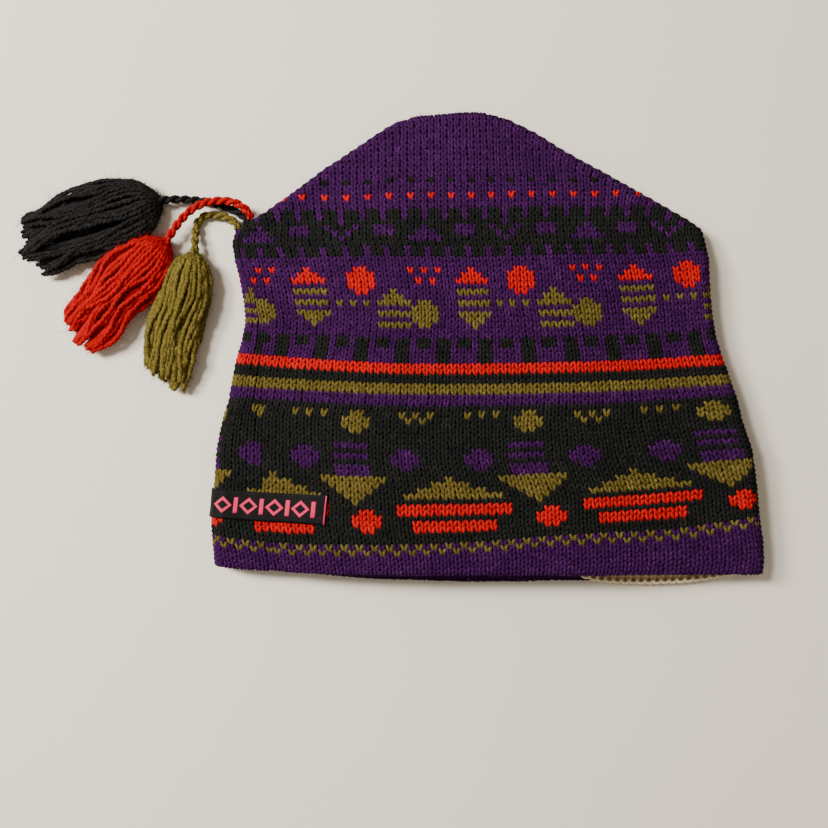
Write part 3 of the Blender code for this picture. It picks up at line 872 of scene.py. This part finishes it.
def yarn_mesh(name, plies, sides):
    """Round plies as one mesh. Each ply is its points and its radius at each."""
    profile = bpy.data.curves.new("profile", "CURVE")
    ring = profile.splines.new("POLY")
    ring.points.add(sides - 1)
    for index in range(sides):
        turn = 2.0 * pi * index / sides
        ring.points[index].co = (cos(turn), sin(turn), 0.0, 1.0)
    ring.use_cyclic_u = True
    profile_holder = bpy.data.objects.new("profile", profile)
    bpy.context.scene.collection.objects.link(profile_holder)
    curve = bpy.data.curves.new(name, "CURVE")
    curve.dimensions = "3D"
    curve.bevel_mode = "OBJECT"
    curve.bevel_object = profile_holder
    curve.use_fill_caps = True
    for points, radii in plies:
        spline = curve.splines.new("POLY")
        spline.points.add(len(points) - 1)
        flat = np.concatenate((points, np.ones((len(points), 1))), axis=1)
        spline.points.foreach_set("co", flat.ravel())
        spline.points.foreach_set("radius", np.broadcast_to(radii, len(points)))
        spline.use_smooth = True
    holder = bpy.data.objects.new(name, curve)
    bpy.context.scene.collection.objects.link(holder)
    graph = bpy.context.evaluated_depsgraph_get()
    mesh = bpy.data.meshes.new_from_object(holder.evaluated_get(graph))
    bpy.data.objects.remove(holder)
    bpy.data.objects.remove(profile_holder)
    bpy.data.curves.remove(curve)
    bpy.data.curves.remove(profile)
    shape = bmesh.new()
    shape.from_mesh(mesh)
    bmesh.ops.remove_doubles(shape, verts=shape.verts, dist=1e-7)
    shape.to_mesh(mesh)
    shape.free()
    mesh.name = name
    mesh.materials.clear()
    mesh.shade_smooth()
    return mesh


def loop_row():
    """One yarn coiled along the lining's edge, a loop to each wale."""
    share = np.arange(WALES * LOOP_POINTS + 1) / (WALES * LOOP_POINTS)
    across, back = round_hat(share)
    up = np.full(across.shape, LOOP_UP)
    place, rise, out = skin_frame(across * sum(front_lengths(up)[2:]), up, back)
    aside = unit(np.gradient(place, axis=0))
    wind = (2.0 * pi * WALES * share)[:, None]
    depth = KNIT_WALL + FIT_GAP + LINING_WALL + LOOP_LIFT
    edge = lining_edge(across, back)[:, None] - LOOP_RADIUS * 0.2
    coil = LOOP_RADIUS * (np.cos(wind) * rise - np.sin(wind) * (aside - 0.25 * out))
    return place - out * depth + rise * edge + coil


lining_ups = np.linspace(0.0, LINING_REACH / HAT_HEIGHT, LINING_ROWS)
lining_mesh = skin_band("lining_band", lining_ups, KNIT_WALL + FIT_GAP, LINING_STEPS, lining_edge)
lining_band = new_piece("lining_band", lining_mesh, knitted_cream())
add_wall(lining_band, LINING_WALL)
cream_yarn = wool_yarn("cream_wool_yarn", YARN_SHADES["cream"])
lining_loops = new_piece(
    "lining_loops", yarn_mesh("lining_loops", [(loop_row(), LOOP_YARN)], 6), cream_yarn,
)
for piece in (lining_band, lining_loops):
    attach(piece, "root")
    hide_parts("mouth_lining")


# The label: a black woven tape sewn flat over the side fold, with a pink thread
# across its end. A plain row of pink woven lozenges and bars fills its face.
LABEL_LENGTH = 0.0636
LABEL_WIDTH = 0.0134
LABEL_UP = 0.0328
LABEL_WRAP = 0.0048
LABEL_TURN = radians(-1.9)
LABEL_LIFT = 0.0004
LABEL_STEPS = (100, 16)
TAPE_RIM = 0.00012
TAPE_RIM_AT = 0.93
TAPE_RIM_SPAN = 0.05
TAPE_WAVES = (0.00012, 0.00008)
WAVE_RUNS = (0.0041, 0.0013)
WAVE_LIFT = 0.002
MOTIF_START = 0.0160
MOTIF_PITCH = 0.0119
MOTIF_COUNT = 4
LOZENGE = (0.0086, 0.0080)
LOZENGE_RIM = 0.0018
BAR = (0.0020, 0.0074)
END_THREAD = (0.00055, LABEL_WIDTH * 0.98)
END_THREAD_IN = 0.0007
MOTIF_WALL = 0.0002
MOTIF_LIFT = 0.00016
TAPE_SHADES = ("#000000", "#070708")
PINK_SHADES = ("#ac2049", "#d8385f")
THREAD = 0.0005
THREAD_RELIEF = 0.00012
SPECKS_PER_METRE = 900.0


def label_place(run, lift, height):
    """Points over the label's face, run along it and lift up its width."""
    place = run * cos(LABEL_TURN) - lift * sin(LABEL_TURN) - LABEL_WRAP
    up = (LABEL_UP + run * sin(LABEL_TURN) + lift * cos(LABEL_TURN)) / HAT_HEIGHT
    spot, _, out = skin_frame(np.abs(place), up, place < 0.0)
    waves = TAPE_WAVES[0] * np.sin(run / WAVE_RUNS[0])
    waves = waves + TAPE_WAVES[1] * np.sin(run / WAVE_RUNS[1] + lift / WAVE_LIFT)
    return spot + out * (LABEL_LIFT + height + waves)[:, None]


def laid_on_label(name, shape, height):
    """A flat shape in label coordinates, laid over its face, with a UV map in metres."""
    flat = np.array([vert.co[:2] for vert in shape.verts])
    map_cloth(shape, flat)
    for vert, co in zip(shape.verts, label_place(flat[:, 0], flat[:, 1], height(flat))):
        vert.co = co
    bmesh.ops.recalc_face_normals(shape, faces=shape.faces)
    shape.normal_update()
    if sum(face.normal.z for face in shape.faces) < 0.0:
        bmesh.ops.reverse_faces(shape, faces=shape.faces)
    return finish_mesh(name, shape)


def woven_tape(name, shades, direction):
    """Woven polyester: fine parallel threads that catch the light a little."""
    # The threads are 0.15 mm apart; they are drawn 0.5 mm apart so that they show.
    material, shader = new_material(name, 0.6, 0.10)
    cloth = add_node(material, "ShaderNodeUVMap", {}, uv_map="cloth")
    threads = add_node(
        material, "ShaderNodeTexWave",
        {"Vector": cloth.outputs["UV"], "Scale": pi / 10.0 / THREAD, "Distortion": 0.6,
         "Detail": 1.0, "Detail Scale": 0.4},
        bands_direction=direction,
    )
    specks = add_node(
        material, "ShaderNodeTexNoise",
        {"Vector": cloth.outputs["UV"], "Scale": SPECKS_PER_METRE, "Detail": 3.0},
    )
    level = add_node(
        material, "ShaderNodeMath",
        {0: threads.outputs["Fac"], 1: specks.outputs["Fac"]}, operation="MULTIPLY",
    )
    cloth_finish(
        material, shader, level.outputs["Value"], shades, (0.0, 0.7),
        level.outputs["Value"], 0.8, THREAD_RELIEF,
    )
    return material


def tape_height(flat):
    """The tape's woven edge stands up a little along both its sides."""
    edge = np.abs(flat[:, 1]) / (LABEL_WIDTH / 2.0)
    return TAPE_RIM * np.exp(-((edge - TAPE_RIM_AT) / TAPE_RIM_SPAN) ** 2)


def motif_height(flat):
    """The pink threads all lie at one height over the tape."""
    return np.full(len(flat), MOTIF_LIFT)


def place_on_label(shape, verts, size, along):
    """Gives verts of unit size their size, and moves them along the label."""
    bmesh.ops.scale(shape, vec=(*size, 1.0), verts=verts)
    bmesh.ops.translate(shape, vec=(along, 0.0, 0.0), verts=verts)


def add_rectangle(shape, size, along, steps=(1, 1)):
    """A flat rectangle along the label."""
    grid = bmesh.ops.create_grid(shape, x_segments=steps[0], y_segments=steps[1], size=0.5)
    place_on_label(shape, grid["verts"], size, along)


tape_shape = bmesh.new()
add_rectangle(tape_shape, (LABEL_LENGTH, LABEL_WIDTH), LABEL_LENGTH / 2.0, LABEL_STEPS)
motif_shape = bmesh.new()
for index in range(MOTIF_COUNT):
    middle = MOTIF_START + MOTIF_PITCH * index
    ring = bmesh.ops.create_circle(motif_shape, cap_ends=True, segments=4, radius=0.5)["verts"]
    place_on_label(motif_shape, ring, LOZENGE, middle)
    face = ring[0].link_faces[0]
    bmesh.ops.inset_individual(motif_shape, faces=[face], thickness=LOZENGE_RIM)
    bmesh.ops.delete(motif_shape, geom=[face], context="FACES_ONLY")
    add_rectangle(motif_shape, BAR, middle + MOTIF_PITCH / 2.0)
add_rectangle(motif_shape, END_THREAD, LABEL_LENGTH - END_THREAD_IN)
bmesh.ops.subdivide_edges(motif_shape, edges=motif_shape.edges, cuts=5, use_grid_fill=True)
black_tape = woven_tape("black_woven_tape", TAPE_SHADES, "Y")
pink_thread = woven_tape("pink_satin_thread", PINK_SHADES, "X")
for name, shape, height, material, wall in (
    ("label_tape", tape_shape, tape_height, black_tape, LABEL_WALL),
    ("label_motif", motif_shape, motif_height, pink_thread, MOTIF_WALL),
):
    piece = new_piece(name, laid_on_label(name, shape, height), material)
    add_wall(piece, wall)
    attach(piece, "root")
    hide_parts("woven_label")


# The cords: each is two strands of two-ply wool, twisted and left to lie from the
# shoulder seam to its tassel.
CORD_DIAMETER = 0.0042
CORD_PITCH = 0.0092
CORD_SPACING = 0.0006
PLY_PITCH = 0.0034
PLY_POINTS = 8
STRAND_OFFSET = CORD_DIAMETER * 0.225
PLY_OFFSET = CORD_DIAMETER * 0.09
PLY_RADIUS = CORD_DIAMETER * 0.195
ROUTE_STEPS = 16
MM = 0.001

# Each route in mm, from the shoulder seam to the neck of its tassel.
CORD_ROUTES = {
    "black": (
        (-110.8, 58.2, 3.8), (-113.0, 61.8, 3.2), (-119.6, 65.7, 2.5), (-127.6, 68.2, 2.3),
        (-136.4, 69.4, 2.3), (-145.0, 69.3, 4.2), (-151.2, 68.3, 6.0),
    ),
    "red": (
        (-108.1, 59.9, 8.5), (-110.3, 63.4, 9.6), (-116.0, 66.9, 9.0), (-123.2, 67.9, 7.8),
        (-129.4, 67.0, 7.4), (-135.6, 63.9, 7.4), (-140.7, 59.3, 7.0), (-144.6, 54.2, 6.4),
        (-148.0, 49.2, 6.0),
    ),
    "olive": (
        (-114.7, 55.8, 5.2), (-116.9, 59.0, 4.5), (-121.5, 61.4, 3.2), (-127.4, 62.4, 2.3),
        (-131.6, 61.5, 2.3), (-134.2, 58.4, 2.4), (-134.9, 53.4, 3.6), (-134.8, 48.4, 5.2),
        (-134.6, 44.0, 6.0),
    ),
}


def lengths_along(points):
    """How far along its line each point lies."""
    steps = np.linalg.norm(np.diff(points, axis=0), axis=1)
    return np.concatenate(((0.0,), np.cumsum(steps)))


def resample(points, spacing):
    """The same line with its points spacing apart."""
    lengths = lengths_along(points)
    marks = np.linspace(0.0, lengths[-1], max(int(round(lengths[-1] / spacing)), 3) + 1)
    return np.stack([np.interp(marks, lengths, points[:, axis]) for axis in range(3)], axis=1)


def smooth_route(points, spacing):
    """Points spacing apart along a smooth curve through a route's own points."""
    points = np.array(points) * MM
    ends = (2.0 * points[:1] - points[1:2], points, 2.0 * points[-1:] - points[-2:-1])
    points = np.concatenate(ends)
    share = np.arange(ROUTE_STEPS)[:, None] / ROUTE_STEPS
    fine = []
    for before, start, end, after in zip(points, points[1:], points[2:], points[3:]):
        bend = 2 * before - 5 * start + 4 * end - after
        twist = 3 * start - before - 3 * end + after
        fine.append(start + 0.5 * share * (end - before + share * (bend + share * twist)))
    fine.append(points[-2:-1])
    return resample(np.concatenate(fine), spacing)


def wound(points, radius, pitch, phase):
    """A helix of that radius and pitch wound round the line through points."""
    lengths = lengths_along(points)
    heading = unit(np.gradient(points, axis=0))
    aside = unit(np.cross(heading, (0.0, 0.0, 1.0)))
    above = np.cross(aside, heading)
    turn = (phase + 2.0 * pi * lengths / pitch)[:, None]
    radius = np.broadcast_to(radius, lengths.shape)[:, None]
    return points + radius * (np.cos(turn) * aside + np.sin(turn) * above)


def cord_plies(route):
    """Two strands wound round the route, each of two plies wound round the strand."""
    plies = []
    fine = resample(route, PLY_PITCH / PLY_POINTS)
    for half in (0.0, pi):
        strand = wound(fine, STRAND_OFFSET, CORD_PITCH, half)
        for quarter in (0.0, pi):
            plies.append((wound(strand, PLY_OFFSET, -PLY_PITCH, quarter), PLY_RADIUS))
    return plies


CORD_SHADES = {
    "black": ("#050505", "#141313", "#2d2b2b"),
    "red": ("#660001", "#920004", "#b20708"),
    "olive": ("#29230a", "#584c1b", "#7b713a"),
}
cord_yarns = {
    colour: wool_yarn(colour + "_wool_yarn", shades) for colour, shades in CORD_SHADES.items()
}
for colour, route in CORD_ROUTES.items():
    line = smooth_route(route, CORD_SPACING)
    cord_mesh = yarn_mesh("twisted_cord_" + colour, cord_plies(line), 6)
    cord = new_piece("twisted_cord_" + colour, cord_mesh, cord_yarns[colour])
    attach(cord, "root")
    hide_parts("cord_" + colour)


# The tassels: cut lengths of thick two-ply wool, doubled over the cord's end and
# bound there, so that they swell from the neck and end raggedly.
STRAND_RADIUS = 0.00114
STRAND_PITCH = 0.0050
STRAND_POINTS = 7
LINE_POINTS = 90
HIDDEN_SPACING = 0.0022
CORE_STRANDS = 32
TASSEL_DEPTH = 0.0125
LEAST_HALF = 0.0004
FLOOR_GAP = 0.0002

# A strand's plies as shares of STRAND_RADIUS, and how strands differ in thickness, in
# pitch and in reach. Those at the sides are shorter, and those with a sine under
# HIDDEN_BELOW lie beneath the tassel and need no plies. Where the tassel thins, its
# middle sinks by TASSEL_SAG of the depth lost.
STRAND_PLY_OFFSET = 0.26
STRAND_PLY_RADIUS = 0.80
STRAND_SIZES = (0.88, 1.12)
STRAND_PITCHES = (0.90, 1.10)
STRAND_REACHES = (-0.035, 0.02)
SIDE_SHORTER = 0.04
LOCK_REACHES = (0.90, 1.02)
HIDDEN_BELOW = -0.35
TASSEL_SAG = 0.35

# The loose fibres: how many on each, their mean length and their width drawn.
TASSEL_FIBRES = (12000, 0.0025, 0.00015)

# How far strands lie from the middle, in the ring and in the core, as shares. Thin
# ones deep in the core are drawn thicker, to fill it.
RING_SPAN = (0.92, 1.03)
CORE_SPAN = (0.35, 0.90)
CORE_DEEP = 0.7
CORE_FILL = 1.5
STRAND_TAPER = ((0.0, 0.04, 0.96, 1.0), (0.7, 1.0, 1.0, 0.7))

# How a strand wanders along its tassel: by how much, and how many times. A lock turns
# as one, and draws its strands together towards the tips by LOCK_DRAW.
Wander = namedtuple("Wander", "amount times")
LOCK_DRAW = 0.56
LOCK_SWIRL = Wander(0.16, 1.05)
LOCK_ROLL = Wander(0.09, 1.1)
STRAY = Wander(0.05, 2.3)
ROLL = Wander(0.10, 1.3)
SWAY = Wander(0.0005, 2.0)
CRIMP = 0.00022
CRIMP_PITCH = 0.0072
LOOSE_FROM = 0.45
Tassel = namedtuple("Tassel", "name heading length spread bend strands locks")
TASSELS = (
    Tassel("black", radians(198), 0.0665, 0.0335, 0.02, 38, 12),
    Tassel("red", radians(226), 0.0620, 0.0300, 0.00, 34, 10),
    Tassel("olive", radians(256), 0.0645, 0.0256, 0.00, 32, 9),
)
Lock = namedtuple("Lock", "angle phase reach")

# A tassel's form from its neck: how far along, and its half width and half depth
# as shares of half its spread and half its depth.
Girth = namedtuple("Girth", "along width depth")
GIRTHS = np.array((
    Girth(0.00, 0.16, 0.34),
    Girth(0.03, 0.38, 0.66),
    Girth(0.08, 0.66, 0.92),
    Girth(0.15, 0.86, 1.00),
    Girth(0.28, 1.00, 1.00),
    Girth(0.50, 1.00, 0.92),
    Girth(0.75, 0.93, 0.80),
    Girth(0.90, 0.84, 0.66),
    Girth(1.00, 0.72, 0.52),
))


def wander(kind, along, phase):
    """How far a strand has wandered at each place along its tassel."""
    return kind.amount * np.sin(2.0 * pi * kind.times * along + phase)


def strand_line(tassel, angle, lock, core, reach, random):
    """One strand's line: at an angle round the tassel, drawn towards its own lock."""
    near = np.array(CORD_ROUTES[tassel.name][-1]) * MM
    near[2] = TASSEL_DEPTH / 2.0
    forward = np.array((cos(tassel.heading), sin(tassel.heading), 0.0))
    aside = np.array((-forward[1], forward[0], 0.0))
    along = np.linspace(0.0, reach, LINE_POINTS)
    width, depth = read(GIRTHS, along, 1), read(GIRTHS, along, 2)
    half_width = np.maximum(width * tassel.spread / 2.0 - STRAND_RADIUS, LEAST_HALF)
    half_depth = np.maximum(depth * TASSEL_DEPTH / 2.0 - STRAND_RADIUS, LEAST_HALF)
    phases = random.uniform(0.0, 2.0 * pi, 5)
    loose = np.minimum(along / LOOSE_FROM, 1.0) ** 1.5
    drawn = LOCK_DRAW * along ** 1.5 * (lock.angle - angle)
    swirl = wander(LOCK_SWIRL, along, lock.phase) + wander(STRAY, along, phases[0])
    turned = angle + drawn + swirl * loose
    roll = wander(ROLL, along, phases[1]) + wander(LOCK_ROLL, along, 2.0 * lock.phase)
    rise = core + roll * loose
    crimp = CRIMP * np.sin(2.0 * pi * along * tassel.length / CRIMP_PITCH + phases[3])
    bend = tassel.bend * tassel.length * along ** 2
    side = rise * np.cos(turned) * half_width + wander(SWAY, along, phases[2]) * loose
    height = rise * np.sin(turned) * half_depth + crimp
    middle = TASSEL_DEPTH / 2.0 - (1.0 - depth) * TASSEL_DEPTH * TASSEL_SAG
    line = near + along[:, None] * tassel.length * forward + (side + crimp + bend)[:, None] * aside
    line[:, 2] = np.clip(middle + height, STRAND_RADIUS * 1.1 + FLOOR_GAP, TASSEL_DEPTH)
    return line


def tassel_plies(tassel, seed):
    """All the plies of a tassel: an outer ring of strands and a looser core."""
    random = np.random.default_rng(seed)
    plies = []
    locks = [
        Lock(2.0 * pi * (index + random.uniform(-0.3, 0.3)) / tassel.locks,
             random.uniform(0.0, 2.0 * pi), random.uniform(*LOCK_REACHES))
        for index in range(tassel.locks)
    ]
    for index in range(tassel.strands + CORE_STRANDS):
        inside = index >= tassel.strands
        core = random.uniform(*(CORE_SPAN if inside else RING_SPAN))
        angle = 2.0 * pi * (index + random.uniform(-0.25, 0.25)) / tassel.strands
        if inside:
            angle = random.uniform(0.0, 2.0 * pi)
        lock = min(locks, key=lambda lock: 1.0 - cos(lock.angle - angle))
        near_angle = lock.angle + 2.0 * pi * round((angle - lock.angle) / (2.0 * pi))
        lock = lock._replace(angle=near_angle)
        reach = lock.reach + random.uniform(*STRAND_REACHES) - SIDE_SHORTER * abs(cos(angle)) ** 3
        line = strand_line(tassel, angle, lock, core, reach, random)
        hidden = sin(angle) < HIDDEN_BELOW or inside
        fine = resample(line, HIDDEN_SPACING if hidden else STRAND_PITCH / STRAND_POINTS)
        size = STRAND_RADIUS * random.uniform(*STRAND_SIZES)
        thick = size * np.interp(np.linspace(0.0, 1.0, len(fine)), *STRAND_TAPER)
        if hidden:
            plies.append((fine, thick * (CORE_FILL if inside and core < CORE_DEEP else 1.0)))
            continue
        phase = random.uniform(0.0, 2.0 * pi)
        pitch = STRAND_PITCH * random.uniform(*STRAND_PITCHES)
        for half in (0.0, pi):
            ply = wound(fine, thick * STRAND_PLY_OFFSET, pitch, phase + half)
            plies.append((ply, thick * STRAND_PLY_RADIUS))
    return plies


tassels = {}
for seed, tassel in enumerate(TASSELS):
    name = "yarn_tassel_" + tassel.name
    tassel_mesh = yarn_mesh(name, tassel_plies(tassel, 31 + seed), 5)
    fuzz = fuzz_mesh(name + "_fuzz", tassel_mesh, *TASSEL_FIBRES, 41 + seed)
    tassels[tassel.name] = [
        new_piece(name, tassel_mesh, cord_yarns[tassel.name]),
        new_piece(name + "_fuzz", fuzz, cord_yarns[tassel.name]),
    ]
    for piece in tassels[tassel.name]:
        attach(piece, "root")
        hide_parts("tassel_" + tassel.name)
